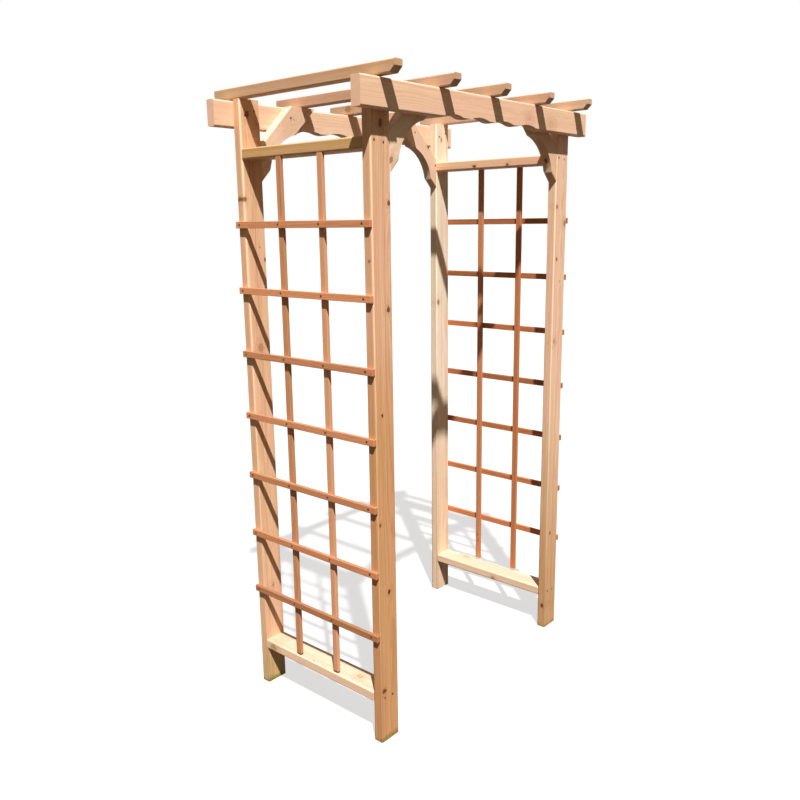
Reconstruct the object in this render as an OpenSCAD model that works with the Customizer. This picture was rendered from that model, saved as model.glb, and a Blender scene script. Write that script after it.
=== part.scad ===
// Garden arbor of cedar boards: four flat posts, a scalloped header on the front and
// back of the posts, rafters laid across the top, the outer ones on the posts and the
// others on the headers, a curved brace in each top corner, and a trellis of thin slats
// on each side.
//
// +X runs along the headers, +Y from front to back, +Z up. The origin is on the
// ground, in the middle of the headers' length and of the rafters' length.
// All boards but the rafters and the thin trellis strips are of one planed stock.

/* [Frame] */
// Width over the outer faces of the posts
frame_w = 1180; // [900:5:1800]
// Depth over the front and back faces of the posts
frame_d = 652; // [450:1:1000]
// Height from the ground to the top of the headers
frame_h = 2221; // [1800:1:2700]

/* [Posts] */
// Broad side of a post, which faces the front and back
post_w = 89; // [64:1:140]
// Thickness of a post
post_t = 38; // [25:1:60]
// How far the posts stand above the headers, which lifts the two outer rafters off them
post_proud = 5; // [0:1:12]
// Radius on the long edges of posts, headers, braces and rails
edge_r = 6; // [2:0.5:9]

/* [Headers] */
// Height of a header
header_h = 89; // [70:1:140]
// Thickness of a header
header_t = 38; // [25:1:60]
// How far a header reaches past the left posts
header_left = 80; // [30:1:160]
// How far a header reaches past the right posts
header_right = 67; // [30:1:160]
// Number of scoops in the lower edge
scoop_count = 4; // [2:1:6]
// Distance from one scoop to the next
scoop_pitch = 149; // [90:1:180]
// Depth of a scoop above the lower edge
scoop_depth = 14; // [6:0.5:24]
// How far the lobes between the scoops stay above the lower edge
lobe_rise = 4; // [1:0.5:5]
// Part of the wave that a scoop's arc takes, and a lobe's arc the rest
scoop_share = 0.6; // [0.3:0.05:0.8]

/* [Rafters] */
// Number of rafters
rafter_count = 5; // [2:1:9]
// Width of a rafter
rafter_w = 38; // [25:1:60]
// Height of a rafter
rafter_h = 38; // [25:1:90]
// Cut under each rafter's nose, measured along and up the front end
nose_cut = 19; // [5:1:24]
// How far the rafters reach past the outer faces of the headers
rafter_reach = 60; // [25:1:150]
// Radius on the long edges of a rafter
rafter_edge_r = 4; // [1:0.5:6]

/* [Braces] */
// Width of a brace board
brace_w = 89; // [60:1:120]
// Distance from the top of the headers down to a brace's lowest corner
brace_drop = 271; // [200:1:420]
// Straight length left below the curve, along the brace's inner edge
brace_foot = 53; // [30:1:90]
// Length of the curve's chord along the inner edge
curve_chord = 190; // [80:1:230]
// Depth of the curve
curve_depth = 31; // [10:1:45]

/* [Rails] */
// Width of a rail
rail_w = 89; // [60:1:140]
// Thickness of a rail, which lies flat
rail_t = 38; // [25:1:60]
// Height of the top of the bottom rail
bottom_rail_z = 187; // [100:1:300]
// Distance from the top of the headers down to the top of the top rail
top_rail_drop = 161; // [90:1:300]

/* [Trellis] */
// Number of slats on each side
slat_count = 7; // [3:1:10]
// Height of a slat, and width of an upright
slat_w = 23.5; // [15:0.5:40]
// Thickness of a slat and of an upright
slat_t = 13; // [8:1:20]
// Distance from the bottom rail up to the middle of the lowest slat
slat_low = 217; // [80:1:300]
// Distance from the top rail down to the middle of the highest slat
slat_high = 223; // [80:1:300]
// Number of uprights on each side
upright_count = 2; // [1:1:4]
// Gap below an upright's lower end
upright_gap = 10; // [0:1:30]

/* [Hidden] */
$fn = 48;
eps = 1;
post_nodes = ["front_left_post", "front_right_post", "back_left_post", "back_right_post"];
brace_nodes = ["front_left_brace", "front_right_brace", "back_left_brace", "back_right_brace"];

// Faces of the post frame
header_l = header_left + frame_w + header_right;
rafter_l = frame_d + 2 * (header_t + rafter_reach);
frame_mid = (header_left - header_right) / 2;
frame_front = -frame_d / 2;
frame_back = frame_d / 2;
panel_d = frame_d - 2 * post_t;

// Headers: the arcs of the scoops and lobes are tangent to each other, but for a small
// overlap, which makes them cross cleanly
arc_overlap = 0.3;
wave_rise = scoop_depth - lobe_rise;
wave_r = (pow(scoop_pitch / 2, 2) + pow(wave_rise, 2)) / (2 * wave_rise);
scoop_r = scoop_share * wave_r;
lobe_r = wave_r - scoop_r;
lobe_half = scoop_pitch / 2 * lobe_r / wave_r;
lobe_top = lobe_rise + lobe_r - sqrt(pow(lobe_r, 2) - pow(lobe_half, 2)) - arc_overlap / 2;

// The outer rafters lie flush with the outer faces of the posts
rafter_pitch = (frame_w - rafter_w) / (rafter_count - 1);
curve_r = (pow(curve_chord / 2, 2) + pow(curve_depth, 2)) / (2 * curve_depth);

// Trellis: the slats and the uprights share out the space between rails and posts
top_rail_z = frame_h - top_rail_drop - rail_t;
slat_pitch = (top_rail_z - slat_high - bottom_rail_z - slat_low) / (slat_count - 1);
upright_z = bottom_rail_z + upright_gap;
upright_l = top_rail_z - upright_z;
upright_space = (panel_d - upright_count * slat_w) / (upright_count + 1);

// Section of a board with its four long edges rounded
module board_section(w, h, r) {
    translate([r, 0]) square([w - 2 * r, h]);
    translate([0, r]) square([w, h - 2 * r]);
    for (x = [r, w - r], y = [r, h - r]) translate([x, y]) circle(r);
}

// Boards that run along one axis from the origin, with their section in the other two
module board_x(l, y, z, r) { rotate([90, 0, 90]) linear_extrude(l) board_section(y, z, r); }
module board_y(l, x, z, r) {
    translate([0, l, 0]) rotate([90, 0, 0]) linear_extrude(l) board_section(x, z, r);
}
module board_z(l, x, y, r) { linear_extrude(l) board_section(x, y, r); }

// A shape modelled about the middle of the frame, for its left or its right side
module on_side(right) { translate([frame_mid, 0, 0]) mirror([right ? 1 : 0, 0, 0]) children(); }

module post(right, back) {
    color("burlywood") on_side(right)
        translate([-frame_w / 2, back ? frame_back - post_t : frame_front, 0])
            board_z(frame_h + post_proud, post_w, post_t, edge_r);
}

// What is cut from a header's lower edge, about the middle of the frame
module scallops() {
    for (i = [0:scoop_count - 1])
        translate([(i - (scoop_count - 1) / 2) * scoop_pitch, scoop_depth - scoop_r])
            circle(scoop_r, $fn = 96);
    for (i = [1:scoop_count - 1]) translate([(i - scoop_count / 2) * scoop_pitch, 0]) difference() {
        translate([-lobe_half, -eps]) square([2 * lobe_half, lobe_top + eps]);
        translate([0, lobe_rise + lobe_r]) circle(lobe_r + arc_overlap, $fn = 96);
    }
}

module header(back) {
    y = back ? frame_back : frame_front - header_t;
    color("tan") translate([0, y, frame_h - header_h]) difference() {
        translate([-header_l / 2, 0, 0]) board_x(header_l, header_t, header_h, edge_r);
        translate([frame_mid, header_t + eps, 0]) rotate([90, 0, 0])
            linear_extrude(header_t + 2 * eps) scallops();
    }
}

// A rafter seen from its side: a short upright nose over a slanted cut at the front, and
// an end sawn square at the back
module rafter_side() {
    polygon([[nose_cut, 0], [rafter_l, 0], [rafter_l, rafter_h], [0, rafter_h], [0, nose_cut]]);
}

module rafter(i) {
    x = frame_mid - frame_w / 2 + (i - 1) * rafter_pitch;
    z = frame_h + (i == 1 || i == rafter_count ? post_proud : 0);
    color("peru") translate([x, -rafter_l / 2, z]) intersection() {
        board_y(rafter_l, rafter_w, rafter_h, rafter_edge_r);
        rotate([90, 0, 90]) linear_extrude(rafter_w) rafter_side();
    }
}

// A board set at 45 degrees in the corner of post and header, cut to both, with one
// wide curve in its inner edge
module brace(right, back) {
    l = brace_drop * sqrt(2);
    color("wheat") on_side(right)
    translate([post_w - frame_w / 2, back ? frame_back - post_t : frame_front, frame_h]) intersection() {
        translate([0, 0, -brace_drop]) rotate([0, -45, 0]) difference() {
            translate([-brace_w, 0, 0]) board_x(l + 2 * brace_w, post_t, brace_w, edge_r);
            translate([brace_foot + curve_chord / 2, -eps, curve_depth - curve_r])
                rotate([-90, 0, 0]) cylinder(h = post_t + 2 * eps, r = curve_r, $fn = 96);
        }
        translate([0, -eps, -brace_drop]) cube([brace_drop, post_t + 2 * eps, brace_drop]);
    }
}

// A flat board between the front and back post of one side
module rail(right, z) {
    color("sandybrown") on_side(right) translate([-frame_w / 2, frame_front + post_t, z])
        board_y(panel_d, rail_w, rail_t, edge_r);
}

module upright(right, i) {
    y = frame_front + post_t + i * upright_space + (i - 1) * slat_w;
    color("chocolate") on_side(right) translate([-frame_w / 2, y, upright_z])
        cube([slat_t, slat_w, upright_l]);
}

// A slat across the outer faces of the posts and uprights of one side
module slat(right, i) {
    z = bottom_rail_z + slat_low + (i - 1) * slat_pitch - slat_w / 2;
    color("sienna") on_side(right) translate([-frame_w / 2 - slat_t, frame_front, z])
        cube([slat_t, frame_d, slat_w]);
}

for (i = [0:3]) post(i % 2 == 1, i > 1);
header(false);  // front_header
header(true);  // back_header
for (i = [1:rafter_count]) rafter(i);
for (i = [0:3]) brace(i % 2 == 1, i > 1);
rail(false, top_rail_z);  // left_top_rail
rail(true, top_rail_z);  // right_top_rail
rail(false, bottom_rail_z - rail_t);  // left_bottom_rail
rail(true, bottom_rail_z - rail_t);  // right_bottom_rail
for (i = [1:upright_count]) {
    upright(false, i);
    upright(true, i);
}
for (i = [1:slat_count]) {
    slat(false, i);
    slat(true, i);
}
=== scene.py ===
"""Garden arbor of cedar boards: the wood's finish, the screws, the floor, the light and the
camera."""
import math
import random

import bmesh
import bpy
from mathutils import Matrix, Vector


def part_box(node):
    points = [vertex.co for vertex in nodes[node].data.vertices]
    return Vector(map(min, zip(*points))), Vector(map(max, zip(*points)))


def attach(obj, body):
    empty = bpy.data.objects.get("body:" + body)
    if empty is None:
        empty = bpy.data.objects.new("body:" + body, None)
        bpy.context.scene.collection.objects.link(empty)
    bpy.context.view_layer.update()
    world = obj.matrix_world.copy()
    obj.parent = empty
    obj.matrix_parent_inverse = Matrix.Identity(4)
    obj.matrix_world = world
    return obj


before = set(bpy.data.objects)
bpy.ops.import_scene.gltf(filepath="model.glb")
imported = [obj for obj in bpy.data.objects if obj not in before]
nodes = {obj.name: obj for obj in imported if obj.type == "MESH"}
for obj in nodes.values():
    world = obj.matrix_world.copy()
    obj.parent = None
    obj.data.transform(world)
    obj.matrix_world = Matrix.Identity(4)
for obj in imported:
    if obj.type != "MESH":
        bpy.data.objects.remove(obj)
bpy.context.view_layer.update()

MM = 0.001
EAST, NORTH, UP = Vector((1, 0, 0)), Vector((0, 1, 0)), Vector((0, 0, 1))
LEFT_SIDE, RIGHT_SIDE = -1, 1
# A brace lies at 45 degrees, so its box doesn't give the width of its board
BRACE_W = 89 * MM


# ---------------------------------------------------------------- how the boards lie

def side_of(name):
    """Which side of the arbor a left or right board stands on."""
    return LEFT_SIDE if "left" in name else RIGHT_SIDE


def board_axes(name):
    """Directions along the grain and across the broad face of a board."""
    if "brace" in name:
        side = side_of(name)
        return Vector((-side, 0, 1)).normalized(), Vector((side, 0, 1)).normalized()
    if "post" in name:
        return UP, EAST
    if "upright" in name:
        return UP, NORTH
    if "header" in name:
        return EAST, UP
    if "slat" in name:
        return NORTH, UP
    return NORTH, EAST


def board_frame(name):
    """Origin and turn of a board's own coordinates: x along the grain from its low end,
    y across the broad face and z through the thickness, both from the board's middle."""
    low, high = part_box(name)
    grain, across = board_axes(name)
    middle = (low + high) / 2
    if "brace" in name:
        foot = Vector((low.x if side_of(name) == LEFT_SIDE else high.x, middle.y, low.z))
        origin = foot + across * BRACE_W / 2
    else:
        origin = middle - grain * (high - low).dot(grain) / 2
    turn = Matrix((grain, across, grain.cross(across))).transposed()
    return origin, turn


def half_thickness(name):
    """Half of a board's thickness, between its broad faces."""
    low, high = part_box(name)
    grain, across = board_axes(name)
    return abs((high - low).dot(grain.cross(across))) / 2


# ---------------------------------------------------------------- shader building

def srgb(red, green, blue):
    """A colour given as on screen, 0 to 255, as the shader's linear values."""
    def linear(value):
        value /= 255
        return value / 12.92 if value <= 0.04045 else ((value + 0.055) / 1.055) ** 2.4
    return (linear(red), linear(green), linear(blue), 1)


def node(tree, kind, inputs=None, **settings):
    """Adds a node, sets its settings, and sets or links its inputs by name or number."""
    made = tree.nodes.new("ShaderNode" + kind)
    for key, value in settings.items():
        setattr(made, key, value)
    for key, value in (inputs or {}).items():
        if isinstance(value, bpy.types.NodeSocket):
            tree.links.new(value, made.inputs[key])
        else:
            made.inputs[key].default_value = value
    return made


def maths(tree, operation, *values, clamp=False):
    """The result of a Math node."""
    return node(tree, "Math", dict(enumerate(values)), operation=operation, use_clamp=clamp).outputs[0]


def vector_maths(tree, operation, *values, result=0):
    """A result of a Vector Math node."""
    return node(tree, "VectorMath", dict(enumerate(values)), operation=operation).outputs[result]


def ramped(tree, value, low, high, to_low=0.0, to_high=1.0):
    """A value taken smoothly from low..high to to_low..to_high."""
    inputs = {"Value": value, "From Min": low, "From Max": high, "To Min": to_low, "To Max": to_high}
    return node(tree, "MapRange", inputs, interpolation_type="SMOOTHSTEP").outputs[0]


def mixed(tree, factor, first, second):
    """A colour between two others."""
    return node(tree, "Mix", {0: factor, 6: first, 7: second}, data_type="RGBA").outputs[2]


def tinted(tree, colour, tint):
    """A colour multiplied by a tint."""
    inputs = {0: 1.0, 6: colour, 7: tint}
    return node(tree, "Mix", inputs, data_type="RGBA", blend_type="MULTIPLY").outputs[2]


def grain_noise(tree, vector, seed, along, across, detail):
    """Noise drawn out along the grain: its frequencies along and across it, per metre."""
    stretched = node(tree, "Mapping", {"Vector": vector, "Scale": (along, across, across)})
    inputs = {"Vector": stretched.outputs[0], "W": seed, "Scale": 1.0, "Detail": detail}
    return node(tree, "TexNoise", inputs, noise_dimensions="4D").outputs[0]


def new_group(name, inputs, outputs):
    """An empty node group with sockets, each given as name: (kind, default)."""
    group = bpy.data.node_groups.new(name, "ShaderNodeTree")
    for key, (kind, default) in inputs.items():
        socket = group.interface.new_socket(key, in_out="INPUT", socket_type="NodeSocket" + kind)
        socket.default_value = default
    for key, kind in outputs.items():
        group.interface.new_socket(key, in_out="OUTPUT", socket_type="NodeSocket" + kind)
    return group, group.nodes.new("NodeGroupInput").outputs, group.nodes.new("NodeGroupOutput")


def finish_group(group, sink, results):
    """Links a group's results to its outputs."""
    for key, value in results.items():
        group.links.new(value, sink.inputs[key])
    return group


# ---------------------------------------------------------------- cedar

# Noises in the wood: frequency per metre along the grain, the same across it, and detail
WANDER = (1.6, 9, 1.0)
RIPPLE = (16, 130, 2.0)
STRIPE = (0.5, 55, 3.0)
STREAK = (3.0, 240, 3.0)
FIBRE = (12, 900, 1.0)
FLECK = (45, 420, 1.0)
BLOTCH = (3.0, 10, 2.0)
KNOT_WOBBLE = (110, 160, 2.0)
DAMP_EDGE = (5, 40, 2.0)
GREEN_FOOT_EDGE = (30, 60, 2.0)

# How far aside of a board's middle the pith may lie, and how far above or below it, in metres
PITH_ASIDE, PITH_DEPTH = 0.05, (0.05, 0.12)
# How far the rings wander and ripple off a true circle
WANDER_REACH = 30 * MM
RIPPLE_REACH = 2.2 * MM
# How much each part of the figure darkens the wood, and how dark the plain wood is
LATE_SHADE = 0.26
STRIPE_SHADE = 0.9
STREAK_SHADE = 0.9
FIBRE_SHADE = 0.7
FLECK_SHADE = 0.25
PLAIN_SHADE = 0.24
# Near a knot, where the rings are pushed aside, the wood is darker and its rings stand out.
# That is full at this push, and it lightens what has less late wood than the middle share.
NEAR_KNOT_PUSH = 12 * MM
NEAR_KNOT_SHADE = 0.3
NEAR_KNOT_RINGS = 0.6
MIDDLE_LATE = 0.35
# How much the planed edges are painted paler, a painted highlight, and how dark the late wood is in end
# grain
EDGE_HIGHLIGHT_SHARE = 0.6
END_GRAIN_SHADE = 0.25
# The palest and the darkest wood, as shares of a board's colour, and the colour of the painted
# highlight that its planed edges lean to
PALE_SHARE, DARK_SHARE = (1.05, 1.085, 1.105), (0.86, 0.78, 0.68)
EDGE_HIGHLIGHT_TONE = (255, 250, 225)
# Tints: rosy and golden blotches, a paler and cooler painted highlight for upward faces, a green painted
# reflection of grass for the feet, and the colours of the knots
ROSY, GOLDEN = srgb(255, 246, 245), srgb(253, 251, 244)
UPWARD_HIGHLIGHT_TINT, GRASS_REFLECTION_GREEN = srgb(230, 243, 252), srgb(184, 200, 130)
KNOT_DARK, KNOT_PALE = srgb(74, 38, 22), srgb(140, 80, 50)
# Dry wood: little gloss, rougher where it is darker, and shallow grain
GLOSS = 0.1
ROUGHNESS, SHADE_ROUGHNESS = 0.58, 0.14
GRAIN_DEPTH, GRAIN_STRENGTH = 0.5 * MM, 0.6
# How far up and down the edges of damp and of the painted green run, and how high that green
# is full and how high it ends, where its edge runs highest
DAMP_FRAY, GREEN_FOOT_FRAY = 0.5, 50 * MM
GREEN_FOOT_FULL, GREEN_FOOT_TOP = 28 * MM, 50 * MM

# How far a knot is drawn out along, across and through a board: less than 1 is longer, and
# 0 is right through
KNOT_SHAPES = {"face": (0.7, 1, 0), "edge": (0.7, 0, 1), "swirl": (0.6, 1, 0), "screw_ring": (0.9, 1, 1)}
# How far a knot pushes the rings away, as a share of its radius
KNOT_SWELL = 2.2
SCREW_RING_DARKNESS = 0.8


def knot_group():
    """One knot, or the darker ring round a screw. It passes on the strongest so far, and how far
    the rings are pushed outwards around the knots."""
    tree, given, sink = new_group(
        "knot",
        {"Vector": ("Vector", (0, 0, 0)), "Place": ("Vector", (0, 0, 0)), "Stretch": ("Vector", (1, 1, 0)),
         "Radius": ("Float", 0.006), "Darkness": ("Float", 1.0), "Swell": ("Float", 1.0),
         "Seed": ("Float", 0.0), "Knot": ("Float", 0.0), "Push": ("Float", 0.0)},
        {"Knot": "Float", "Push": "Float"})
    away = vector_maths(tree, "SUBTRACT", given["Vector"], given["Place"])
    stretched = vector_maths(tree, "MULTIPLY", away, given["Stretch"])
    distance = vector_maths(tree, "LENGTH", stretched, result="Value")
    wobble = grain_noise(tree, given["Vector"], given["Seed"], *KNOT_WOBBLE)
    share = maths(tree, "DIVIDE", distance, given["Radius"])
    share = maths(tree, "MULTIPLY", share, ramped(tree, wobble, 0.2, 0.8, 0.72, 1.28))
    core = ramped(tree, share, 0.7, 1.1, 1.0, 0.0)
    off_rim = maths(tree, "ABSOLUTE", maths(tree, "SUBTRACT", share, 1.0))
    rim = ramped(tree, off_rim, 0.0, 0.35, 0.45, 0.0)
    dark = maths(tree, "MULTIPLY", maths(tree, "ADD", core, rim), given["Darkness"])
    reach = maths(tree, "DIVIDE", maths(tree, "MULTIPLY", share, share), -5.0)
    bulge = maths(tree, "MULTIPLY", maths(tree, "EXPONENT", reach), given["Radius"])
    push = maths(tree, "MULTIPLY_ADD", bulge, given["Swell"], given["Push"])
    return finish_group(tree, sink, {"Knot": maths(tree, "MAXIMUM", dark, given["Knot"]), "Push": push})


def facing(tree, direction):
    """How squarely a surface faces along a direction, from 0 to 1."""
    normal = node(tree, "TexCoord").outputs["Normal"]
    return maths(tree, "ABSOLUTE", vector_maths(tree, "DOT_PRODUCT", normal, direction, result="Value"))


def rounding(tree, along_grain, over_face):
    """1 on the planed round of a board's long edges and 0 on its flat faces and ends."""
    square = maths(tree, "SUBTRACT", 1.0, maths(tree, "MULTIPLY", over_face, over_face))
    level = maths(tree, "SQRT", maths(tree, "MAXIMUM", 0.0, square))
    squarest = maths(tree, "MAXIMUM", over_face, maths(tree, "MAXIMUM", along_grain, level))
    return ramped(tree, squarest, 0.74, 0.97, 1.0, 0.0)


def late_wood(tree, vector, seed, pith, ring, push):
    """1 in the dark late wood of the growth rings about the pith, and 0 in the early wood."""
    section = vector_maths(tree, "MULTIPLY", vector, (0, 1, 1))
    from_pith = vector_maths(tree, "SUBTRACT", section, pith)
    radius = vector_maths(tree, "LENGTH", from_pith, result="Value")
    wander = grain_noise(tree, vector, seed, *WANDER)
    ripple = grain_noise(tree, vector, seed, *RIPPLE)
    radius = maths(tree, "MULTIPLY_ADD", wander, WANDER_REACH, radius)
    radius = maths(tree, "MULTIPLY_ADD", ripple, RIPPLE_REACH, radius)
    radius = maths(tree, "ADD", radius, push)
    phase = maths(tree, "FRACT", maths(tree, "DIVIDE", radius, ring))
    return maths(tree, "MULTIPLY", ramped(tree, phase, 0.25, 0.88), ramped(tree, phase, 0.9, 1.0, 1.0, 0.0))


def cedar_group():
    """Cedar in a board's own coordinates: growth rings about the pith, heartwood stripes,
    fibres and flecks along the grain, darker end grain and knots."""
    tree, given, sink = new_group(
        "cedar",
        {"Vector": ("Vector", (0, 0, 0)), "Pith": ("Vector", (0, 0, 0)), "Grain": ("Vector", (1, 0, 0)),
         "Across": ("Vector", (0, 1, 0)), "Seed": ("Float", 0.0), "Ring": ("Float", 0.0035),
         "Figure": ("Float", 1.0),
         "Pale": ("Color", (1, 1, 1, 1)), "Dark": ("Color", (0, 0, 0, 1)), "EdgeHighlight": ("Color", (1, 1, 1, 1)),
         "Knot": ("Float", 0.0), "Push": ("Float", 0.0)},
        {"Color": "Color", "Height": "Float", "Roughness": "Float"})
    vector, seed = given["Vector"], given["Seed"]
    late = late_wood(tree, vector, seed, given["Pith"], given["Ring"], given["Push"])
    stripe = grain_noise(tree, vector, seed, *STRIPE)
    streak = grain_noise(tree, vector, seed, *STREAK)
    fibre = grain_noise(tree, vector, seed, *FIBRE)
    fleck = ramped(tree, grain_noise(tree, vector, seed, *FLECK), 0.66, 0.76)
    near_knot = ramped(tree, given["Push"], 0.0, NEAR_KNOT_PUSH)

    shade = maths(tree, "MULTIPLY", late, LATE_SHADE)
    for noise, share in ((stripe, STRIPE_SHADE), (streak, STREAK_SHADE), (fibre, FIBRE_SHADE)):
        shade = maths(tree, "MULTIPLY_ADD", maths(tree, "SUBTRACT", noise, 0.5), share, shade)
    shade = maths(tree, "MULTIPLY_ADD", fleck, FLECK_SHADE, shade)
    shade = maths(tree, "MULTIPLY_ADD", shade, given["Figure"], PLAIN_SHADE)
    rings = maths(tree, "MULTIPLY", maths(tree, "SUBTRACT", late, MIDDLE_LATE), near_knot)
    shade = maths(tree, "MULTIPLY_ADD", rings, NEAR_KNOT_RINGS, shade, clamp=True)
    wood = mixed(tree, shade, given["Pale"], given["Dark"])

    blotch = grain_noise(tree, vector, seed, *BLOTCH)
    rosy, golden = tinted(tree, wood, ROSY), tinted(tree, wood, GOLDEN)
    wood = mixed(tree, ramped(tree, blotch, 0.35, 0.65), rosy, golden)

    # Upward faces get a paler, cooler colour: a painted highlight where the light falls on them from above.
    upward = node(tree, "SeparateXYZ", {0: node(tree, "TexCoord").outputs["Normal"]}).outputs["Z"]
    wood = mixed(tree, ramped(tree, upward, 0.35, 0.8), wood, tinted(tree, wood, UPWARD_HIGHLIGHT_TINT))

    along_grain, over_face = facing(tree, given["Grain"]), facing(tree, given["Across"])
    # The planed edges are painted paler: a painted highlight, as the light catches their rounds.
    edge_highlight = maths(tree, "MULTIPLY", rounding(tree, along_grain, over_face), EDGE_HIGHLIGHT_SHARE)
    wood = mixed(tree, edge_highlight, wood, given["EdgeHighlight"])
    end_wood = mixed(tree, maths(tree, "MULTIPLY", late, END_GRAIN_SHADE), wood, given["Dark"])
    wood = mixed(tree, ramped(tree, along_grain, 0.80, 0.97), wood, end_wood)

    wood = mixed(tree, maths(tree, "MULTIPLY", near_knot, NEAR_KNOT_SHADE), wood, given["Dark"])
    knot = maths(tree, "MINIMUM", given["Knot"], 1.0)
    wood = mixed(tree, knot, wood, mixed(tree, streak, KNOT_DARK, KNOT_PALE))

    height = maths(tree, "MULTIPLY", late, -0.35)
    for noise, share in ((fibre, 0.8), (fleck, -0.4), (knot, -0.5)):
        height = maths(tree, "MULTIPLY_ADD", noise, share, height)
    roughness = maths(tree, "MULTIPLY_ADD", shade, SHADE_ROUGHNESS, ROUGHNESS)
    return finish_group(tree, sink, {"Color": wood, "Height": height, "Roughness": roughness})


KNOT, CEDAR = knot_group(), cedar_group()


def knots_and_screw_rings(tree, board, seed, knots, screws):
    """A board's knots and the darker rings round its screws, as the inputs that the cedar takes
    from them."""
    marks = []
    for kind, along, across, radius, darkness in knots:
        place = (along, 0, across) if kind == "edge" else (along, across, 0)
        marks.append((kind, place, radius, darkness, KNOT_SWELL))
    marks += [("screw_ring", place, SCREW_RING_RADIUS, SCREW_RING_DARKNESS, 0.0) for place in screws]
    so_far = {}
    for kind, place, radius, darkness, swell in marks:
        inputs = {"Vector": board, "Place": place, "Stretch": KNOT_SHAPES[kind], "Radius": radius,
                  "Darkness": darkness, "Swell": swell, "Seed": seed + place[0], **so_far}
        mark = node(tree, "Group", inputs, node_tree=KNOT)
        so_far = {key: mark.outputs[key] for key in ("Knot", "Push")}
    return so_far


def damp_and_grass_reflection_below(tree, place, board, seed, colour, tint, low, high, green_foot):
    """Damp has tinted a post towards its foot, and its last centimetres are painted green, a painted
    reflection of the grass.
    """
    height = node(tree, "SeparateXYZ", {0: place}).outputs["Z"]
    edge = maths(tree, "MULTIPLY_ADD", grain_noise(tree, board, seed, *DAMP_EDGE), DAMP_FRAY, height)
    damp = ramped(tree, edge, low + DAMP_FRAY / 2, high + DAMP_FRAY / 2, 1.0, 0.0)
    colour = mixed(tree, damp, colour, tinted(tree, colour, srgb(*tint)))
    # The last centimetres of the post are painted green: a painted reflection of the grass.
    foot = maths(tree, "MULTIPLY_ADD", grain_noise(tree, board, seed, *GREEN_FOOT_EDGE), GREEN_FOOT_FRAY, height)
    green_share = ramped(tree, foot, GREEN_FOOT_FULL, GREEN_FOOT_TOP, green_foot, 0.0)
    return mixed(tree, green_share, colour, tinted(tree, colour, GRASS_REFLECTION_GREEN))


def cedar_material(name, tone, knots, screws, ring, figure):
    """A board's own cedar. Knots are (kind, along, across, radius, darkness) and screws
    (along, across, through), in metres from the low end and from the middle."""
    origin, turn = board_frame(name)
    chance = random.Random(name)
    seed = chance.uniform(0, 40)
    pith = (0, chance.uniform(-PITH_ASIDE, PITH_ASIDE), chance.choice((-1, 1)) * chance.uniform(*PITH_DEPTH))

    material = bpy.data.materials.new(name + "_cedar")
    material.use_nodes = True
    tree = material.node_tree
    shader = tree.nodes["Principled BSDF"]
    place = node(tree, "TexCoord").outputs["Object"]
    board = node(tree, "Mapping", {"Vector": place, "Location": origin, "Rotation": turn.to_euler()},
                 vector_type="TEXTURE").outputs[0]
    inputs = {"Vector": board, "Pith": pith, "Grain": turn.col[0], "Across": turn.col[1], "Seed": seed,
              "Ring": ring, "Figure": figure,
              "Pale": srgb(*(value * share for value, share in zip(tone, PALE_SHARE))),
              "Dark": srgb(*(value * share for value, share in zip(tone, DARK_SHARE))),
              "EdgeHighlight": srgb(*((value + pale) / 2 for value, pale in zip(tone, EDGE_HIGHLIGHT_TONE))),
              **knots_and_screw_rings(tree, board, seed, knots, screws)}
    cedar = node(tree, "Group", inputs, node_tree=CEDAR)
    colour = cedar.outputs["Color"]
    if name in DAMP:
        colour = damp_and_grass_reflection_below(tree, place, board, seed, colour, *DAMP[name])
    inputs = {"Height": cedar.outputs["Height"], "Strength": GRAIN_STRENGTH, "Distance": GRAIN_DEPTH}
    tree.links.new(node(tree, "Bump", inputs).outputs[0], shader.inputs["Normal"])
    tree.links.new(colour, shader.inputs["Base Color"])
    tree.links.new(cedar.outputs["Roughness"], shader.inputs["Roughness"])
    shader.inputs["Specular IOR Level"].default_value = GLOSS
    return material


# ---------------------------------------------------------------- the boards' finish

# Colour of each board, as a lit face shows it
TONES = {
    "front_left_post": (240, 190, 153), "front_right_post": (252, 211, 180),
    "back_left_post": (246, 199, 161), "back_right_post": (254, 234, 210),
    "front_header": (253, 209, 176), "back_header": (253, 213, 182),
    "rafter_1": (222, 180, 141), "rafter_2": (218, 178, 146), "rafter_3": (220, 180, 146),
    "rafter_4": (226, 184, 152), "rafter_5": (230, 190, 160),
    "front_left_brace": (252, 219, 190), "front_right_brace": (241, 199, 164),
    "back_left_brace": (252, 219, 190), "back_right_brace": (244, 210, 180),
    "left_top_rail": (215, 171, 115), "right_top_rail": (251, 204, 170),
    "left_bottom_rail": (251, 213, 181), "right_bottom_rail": (251, 213, 183),
    "left_upright_1": (230, 171, 130), "left_upright_2": (208, 149, 107),
    "right_upright_1": (206, 133, 86), "right_upright_2": (210, 140, 97),
    "left_slat": (215, 147, 104), "right_slat": (203, 127, 82),
}
# How pale each slat is beside the rest of its side, from the lowest up
SLAT_LEVELS = {"left": (0.89, 1.0, 0.98, 1.02, 0.97, 1.07, 1.04),
               "right": (1.07, 1.01, 0.96, 0.88, 0.99, 0.94, 0.92)}
# What damp has made of each post further down: its tint there, the heights between which
# that fades out, and how green the foot is painted, a painted reflection of the grass
DAMP = {
    "front_left_post": ((236, 224, 198), 1.05, 1.6, 0.8),
    "front_right_post": ((220, 204, 176), 0.1, 1.2, 0.5),
    "back_left_post": ((231, 240, 214), 0.05, 0.25, 1.0),
    "back_right_post": ((255, 240, 230), 0.4, 1.1, 0.1),
}
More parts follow.
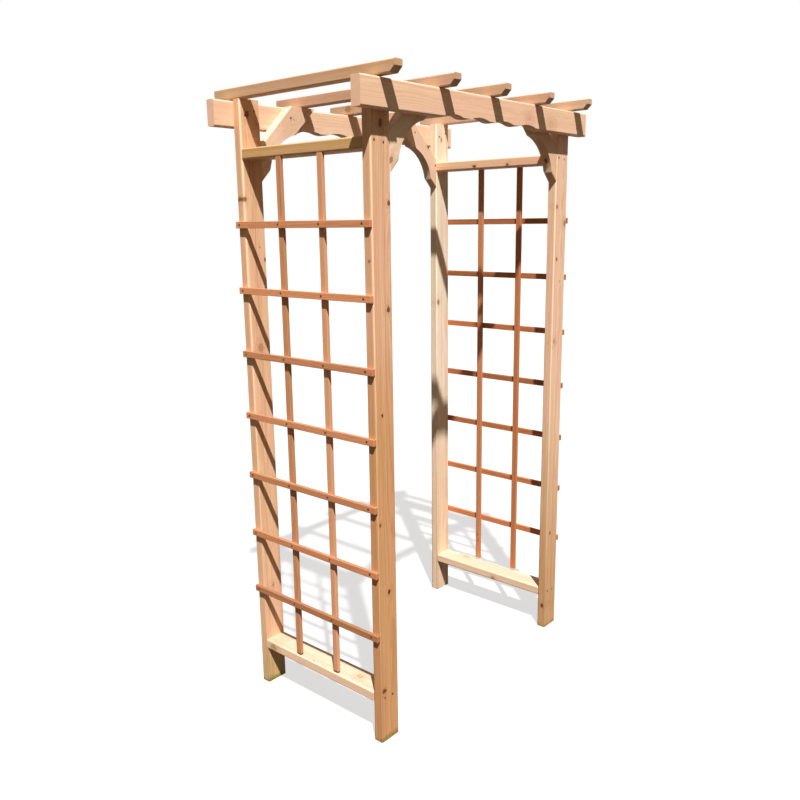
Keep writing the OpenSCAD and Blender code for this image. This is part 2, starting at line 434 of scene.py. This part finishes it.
# Each kind of board: how strongly its grain shows, the width of its rings, and how far its
# sharp edges are eased
FIGURE = {
    "post": (1.0, 3.2 * MM, 1.5 * MM),
    "header": (0.5, 2.6 * MM, 1.5 * MM),
    "brace": (0.6, 2.8 * MM, 1.5 * MM),
    "rafter": (0.8, 3.0 * MM, 1.2 * MM),
    "rail": (0.8, 3.2 * MM, 1.5 * MM),
    "slat": (1.0, 2.2 * MM, 1.2 * MM),
    "upright": (0.9, 2.2 * MM, 1.2 * MM),
}
# Knots: kind, metres along from the board's low end, across from its middle, radius, darkness
KNOTS = {
    "front_left_post": [("face", 2.096, 0.000, 0.009, 0.8), ("face", 1.860, 0.033, 0.006, 0.9),
                        ("face", 1.528, 0.024, 0.007, 0.9), ("face", 1.186, -0.014, 0.004, 1.0),
                        ("face", 0.813, -0.033, 0.005, 0.7), ("face", 0.561, 0.005, 0.006, 1.0),
                        ("face", 0.198, -0.031, 0.006, 0.9), ("face", 0.196, -0.022, 0.004, 0.9),
                        ("edge", 1.683, -0.003, 0.004, 0.6)],
    "front_right_post": [("face", 1.854, -0.033, 0.006, 0.7), ("face", 1.787, 0.032, 0.009, 0.6),
                         ("face", 1.644, -0.025, 0.005, 0.8), ("face", 1.552, 0.002, 0.003, 0.5),
                         ("face", 1.304, -0.025, 0.008, 0.3), ("face", 0.446, -0.016, 0.005, 0.9),
                         ("edge", 0.103, -0.004, 0.007, 0.9)],
    "back_left_post": [("face", 2.177, -0.013, 0.008, 0.8), ("swirl", 2.155, 0.027, 0.011, 0.2),
                       ("face", 1.888, -0.040, 0.006, 0.8),
                       ("face", 1.719, 0.016, 0.003, 0.5), ("face", 1.674, 0.038, 0.005, 0.9),
                       ("face", 1.354, -0.002, 0.011, 0.4), ("face", 0.406, 0.000, 0.006, 0.3)],
    "back_right_post": [("face", 2.160, -0.008, 0.006, 0.5), ("face", 1.436, -0.033, 0.008, 0.7),
                        ("face", 0.930, 0.021, 0.006, 0.4)],
    "front_header": [("face", 1.055, -0.018, 0.012, 0.12), ("face", 0.902, -0.006, 0.010, 0.10)],
    "back_header": [("face", 0.420, 0.012, 0.007, 0.6)],
    "rafter_3": [("edge", 0.747, -0.004, 0.011, 0.5), ("face", 0.180, 0.006, 0.004, 0.6)],
    "rafter_5": [("face", 0.520, 0.008, 0.005, 0.6)],
    "front_left_brace": [("face", 0.030, -0.018, 0.008, 0.6)],
    "front_right_brace": [("edge", 0.094, 0.000, 0.006, 0.9)],
    "back_left_brace": [("swirl", 0.262, 0.000, 0.015, 0.06)],
    "back_right_brace": [("face", 0.163, 0.038, 0.006, 0.9)],
    "left_bottom_rail": [("edge", 0.539, 0.002, 0.012, 0.45), ("face", 0.106, -0.002, 0.010, 0.35),
                         ("face", 0.316, -0.035, 0.003, 0.6)],
    "right_bottom_rail": [("face", 0.450, 0.029, 0.011, 0.30), ("edge", 0.245, 0.010, 0.007, 0.5)],
    "right_top_rail": [("edge", 0.368, 0.008, 0.006, 0.9), ("edge", 0.198, 0.010, 0.005, 0.8)],
    "left_top_rail": [("face", 0.410, 0.020, 0.006, 0.5)],
    "right_upright_2": [("face", 0.119, 0.002, 0.003, 0.8), ("face", 0.090, -0.002, 0.003, 0.7)],
}


def tone_of(name):
    """A board's colour as a lit face shows it. The slats share one, each a little off it."""
    if name in TONES:
        return TONES[name]
    side, kind, number = name.split("_")
    level = SLAT_LEVELS[side][int(number) - 1]
    return tuple(value * level for value in TONES[f"{side}_{kind}"])


# Corners closer together than this are one
WELD_DISTANCE = 0.01 * MM


def ease_edges(board, ease):
    """Takes the sharpness off a board's edges."""
    weld = board.modifiers.new("weld", "WELD")
    weld.merge_threshold = WELD_DISTANCE
    eased = board.modifiers.new("eased_edges", "BEVEL")
    eased.width = ease
    eased.segments = 2
    eased.limit_method = "ANGLE"


def dress_boards():
    """Gives every board its own cedar and its eased edges."""
    for name, board in nodes.items():
        kind = next(kind for kind in FIGURE if kind in name)
        figure, ring, ease = FIGURE[kind]
        half = half_thickness(name)
        screws = [(along, across, face * half) for along, across, face in screw_places(name)]
        knots = KNOTS.get(name, ())
        board.material_slots[0].material = cedar_material(name, tone_of(name), knots, screws, ring, figure)
        ease_edges(board, ease)


# ---------------------------------------------------------------- screws

SCREW_RADIUS = 3.1 * MM
SCREW_DEPTH = 1.4 * MM
SCREW_PROUD = 0.3 * MM
# A slope up from the rim of the head, then a flat ring round the recess for the driver
SLOPE_W = 0.6 * MM
SLOPE_RISE = 0.25 * MM
RING_W = 1.1 * MM
RECESS_DEPTH = 0.9 * MM
# The coating, and what shows where it is scuffed
COATING, SCUFFED = srgb(40, 19, 11), srgb(78, 44, 28)
# The wood is darker in a ring to about this far from the middle of a screw
SCREW_RING_RADIUS = 1.3 * SCREW_RADIUS

# Screws into a rail's end: height above the rail's underside, and across the post
TOP_RAIL_SCREWS = ((24 * MM, -28 * MM), (19 * MM, 13 * MM))
BOTTOM_RAIL_SCREWS = ((21 * MM, -26 * MM), (18 * MM, 14 * MM))
# Screws into a header: height above its middle, and across the post
HEADER_SCREWS = ((-5 * MM, -22 * MM), (12 * MM, 20 * MM))
# Screws in a brace: along it from its low end, and across it
BRACE_SCREWS = ((265 * MM, 14 * MM), (72 * MM, 20 * MM))
# How far a rafter's screws sit off its middle line
RAFTER_SCREW_OFFSET = 2 * MM
# How far a slat's first and last screw are from its ends
SLAT_SCREW_FRONT, SLAT_SCREW_BACK = 32 * MM, 19 * MM


def screw_places(name):
    """A board's screws as (along, across, face) from its low end and its middle. A face of
    1 or -1 is the one that z of the board's own coordinates points out of, or away from."""
    if "slat" in name:
        return slat_screws(name)
    if "post" in name:
        return post_screws(name)
    if "brace" in name:
        inner = 1 if ("back" in name) == (side_of(name) == LEFT_SIDE) else -1
        return [(along, across, inner) for along, across in BRACE_SCREWS]
    if "rafter" in name:
        return rafter_screws(name)
    return []


def slat_screws(name):
    """One into each post and one into each upright that the slat crosses."""
    low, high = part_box(name)
    side = name.split("_")[0]
    uprights = [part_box(f"{side}_upright_{i}") for i in (1, 2)]
    middles = [(bottom.y + top.y) / 2 - low.y for bottom, top in uprights]
    last = high.y - low.y - SLAT_SCREW_BACK
    return [(along, 0.0, side_of(name)) for along in (SLAT_SCREW_FRONT, *middles, last)]


def post_screws(name):
    """Two into the end of each rail, and two from inside into the header."""
    row, side = name.split("_")[:2]
    outer, inner = (-1, 1) if row == "front" else (1, -1)
    places = []
    for rail, screws in (("top_rail", TOP_RAIL_SCREWS), ("bottom_rail", BOTTOM_RAIL_SCREWS)):
        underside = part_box(f"{side}_{rail}")[0].z
        places += [(underside + up, across, outer) for up, across in screws]
    low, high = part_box(f"{row}_header")
    middle = (low.z + high.z) / 2
    return places + [(middle + up, across, inner) for up, across in HEADER_SCREWS]


def rafter_screws(name):
    """One down into each board that bears the rafter: the posts under the outer rafters, and
    the headers under the rest."""
    bearer = {"rafter_1": "left_post", "rafter_5": "right_post"}.get(name, "header")
    front_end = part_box(name)[0].y
    bearers = [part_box(f"{row}_{bearer}") for row in ("front", "back")]
    return [((low.y + high.y) / 2 - front_end, RAFTER_SCREW_OFFSET, -1) for low, high in bearers]


def screw_head():
    """A screw's head, facing +Z, over a board's surface at the origin."""
    bpy.ops.object.select_all(action="DESELECT")
    bpy.ops.mesh.primitive_cylinder_add(vertices=24, radius=SCREW_RADIUS, depth=SCREW_DEPTH,
                                        location=(0, 0, SCREW_PROUD - SCREW_DEPTH / 2))
    head = bpy.context.object
    bpy.ops.object.transform_apply(location=True)
    bpy.ops.object.mode_set(mode="EDIT")
    bpy.ops.mesh.select_mode(type="FACE")
    select_top_face(head)
    bpy.ops.mesh.inset(thickness=SLOPE_W)
    bpy.ops.transform.translate(value=(0, 0, SLOPE_RISE))
    bpy.ops.mesh.inset(thickness=RING_W)
    bpy.ops.mesh.extrude_region_move(TRANSFORM_OT_translate={"value": (0, 0, -RECESS_DEPTH)})
    bpy.ops.object.mode_set(mode="OBJECT")
    return head


def select_top_face(piece):
    """Selects the highest face alone."""
    mesh = bmesh.from_edit_mesh(piece.data)
    top = max(mesh.faces, key=lambda face: (face.calc_center_median().z, face.calc_area()))
    for face in mesh.faces:
        face.select = face == top
    bmesh.update_edit_mesh(piece.data)


def painted_screw():
    """Dark brown coated steel, scuffed in places."""
    material = bpy.data.materials.new("brown_screw")
    material.use_nodes = True
    tree = material.node_tree
    shader = tree.nodes["Principled BSDF"]
    place = node(tree, "TexCoord").outputs["Object"]
    scuff = node(tree, "TexNoise", {"Vector": place, "Scale": 900.0, "Detail": 2.0}).outputs[0]
    colour = mixed(tree, ramped(tree, scuff, 0.45, 0.75), COATING, SCUFFED)
    tree.links.new(colour, shader.inputs["Base Color"])
    tree.links.new(ramped(tree, scuff, 0.3, 0.7, 0.5, 0.7), shader.inputs["Roughness"])
    return material


def screw_copy(pattern, origin, turn, place, face):
    """A copy of the head, at a place in a board whose own coordinates have this origin and
    turn."""
    head = pattern.copy()
    head.data = pattern.data.copy()
    bpy.context.scene.collection.objects.link(head)
    spin = Matrix.Rotation(0 if face > 0 else math.pi, 4, "X")
    head.data.transform(Matrix.Translation(origin + turn @ place) @ turn.to_4x4() @ spin)
    return head


def drive_screws():
    """Sets the heads of each board's screws, as one piece beside the board."""
    pattern, paint = screw_head(), painted_screw()
    for name in nodes:
        places = screw_places(name)
        if not places:
            continue
        origin, turn = board_frame(name)
        half = half_thickness(name)
        heads = [screw_copy(pattern, origin, turn, Vector((along, across, face * half)), face)
                 for along, across, face in places]
        bpy.ops.object.select_all(action="DESELECT")
        for head in heads:
            head.select_set(True)
        bpy.context.view_layer.objects.active = heads[0]
        bpy.ops.object.join()
        screws = bpy.context.object
        screws.name = name + "_screws"
        screws.data.materials.append(paint)
        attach(screws, "root")
    bpy.data.objects.remove(pattern)


# ---------------------------------------------------------------- floor, light and camera

AMBIENT = 0.21
ROOM_COLOUR = (1, 0.81, 0.62, 1)
WHITE = (1, 1, 1, 1)
KEY_LEVEL = 1.74
KEY_FROM = Vector((-0.345, -0.41, 0.844))
KEY_DISTANCE = 6
KEY_SOFTNESS = math.radians(1.2)
FLOOR_HALF = 40.0
# The floor's colour as it lights the boards, and the matt colour and the glow that the camera
# sees
FLOOR_BOUNCE = (0.05, 0.045, 0.035, 1)
FLOOR_MATT = (0.26, 0.26, 0.26, 1)
FLOOR_GLOW = 0.67

CAMERA_PLACE = (-2.4512, -2.0601, 1.8015)
CAMERA_HEADING, CAMERA_PITCH, CAMERA_ROLL = 0.8532, -0.2156, -0.0133
CAMERA_LENS, CAMERA_SENSOR = 36.52, 36


def pale_to_camera(tree, lit, pale):
    """One shader lights the boards, and the camera, gloss and glass see a pale one instead."""
    path = node(tree, "LightPath").outputs
    seen = maths(tree, "MAXIMUM", path["Is Camera Ray"], path["Is Glossy Ray"])
    seen = maths(tree, "MAXIMUM", seen, path["Is Transmission Ray"])
    return node(tree, "MixShader", {0: seen, 1: lit, 2: pale}).outputs[0]


def light_studio():
    """A key light from the front left and above, with crisp shadows, in an even warm room."""
    world = bpy.data.worlds.new("studio")
    bpy.context.scene.world = world
    world.use_nodes = True
    tree = world.node_tree
    tree.nodes.clear()
    room = node(tree, "Background", {"Color": ROOM_COLOUR, "Strength": AMBIENT}).outputs[0]
    white = node(tree, "Background", {"Color": WHITE, "Strength": 1.0}).outputs[0]
    node(tree, "OutputWorld", {"Surface": pale_to_camera(tree, room, white)})

    bpy.ops.object.light_add(type="SUN", location=KEY_FROM * KEY_DISTANCE)
    key = bpy.context.object
    key.name = "key_light"
    key.rotation_euler = KEY_FROM.to_track_quat("Z", "Y").to_euler()
    key.data.energy = KEY_LEVEL * math.pi
    key.data.angle = KEY_SOFTNESS


def lay_floor():
    """A plain pale floor that keeps a faint shadow."""
    bpy.ops.mesh.primitive_plane_add(size=2 * FLOOR_HALF)
    floor = bpy.context.object
    floor.name = "floor"
    material = bpy.data.materials.new("pale_floor")
    material.use_nodes = True
    tree = material.node_tree
    tree.nodes.clear()
    dim = node(tree, "BsdfDiffuse", {"Color": FLOOR_BOUNCE}).outputs[0]
    matt = node(tree, "BsdfDiffuse", {"Color": FLOOR_MATT}).outputs[0]
    glow = node(tree, "Emission", {"Color": WHITE, "Strength": FLOOR_GLOW}).outputs[0]
    pale = node(tree, "AddShader", {0: matt, 1: glow}).outputs[0]
    node(tree, "OutputMaterial", {"Surface": pale_to_camera(tree, dim, pale)})
    floor.data.materials.append(material)


def place_camera():
    """Looks at the arbor from its front left corner, from a little below its top."""
    bpy.ops.object.camera_add()
    camera = bpy.context.object
    turn = (Matrix.Rotation(-CAMERA_HEADING, 4, "Z") @ Matrix.Rotation(math.pi / 2 + CAMERA_PITCH, 4, "X")
            @ Matrix.Rotation(CAMERA_ROLL, 4, "Z"))
    camera.matrix_world = Matrix.Translation(CAMERA_PLACE) @ turn
    camera.data.sensor_width = CAMERA_SENSOR
    camera.data.lens = CAMERA_LENS
    camera.data.clip_end = 4 * FLOOR_HALF
    bpy.context.scene.camera = camera


place_camera()
dress_boards()
drive_screws()
light_studio()
lay_floor()
bpy.context.scene.view_settings.view_transform = "Standard"
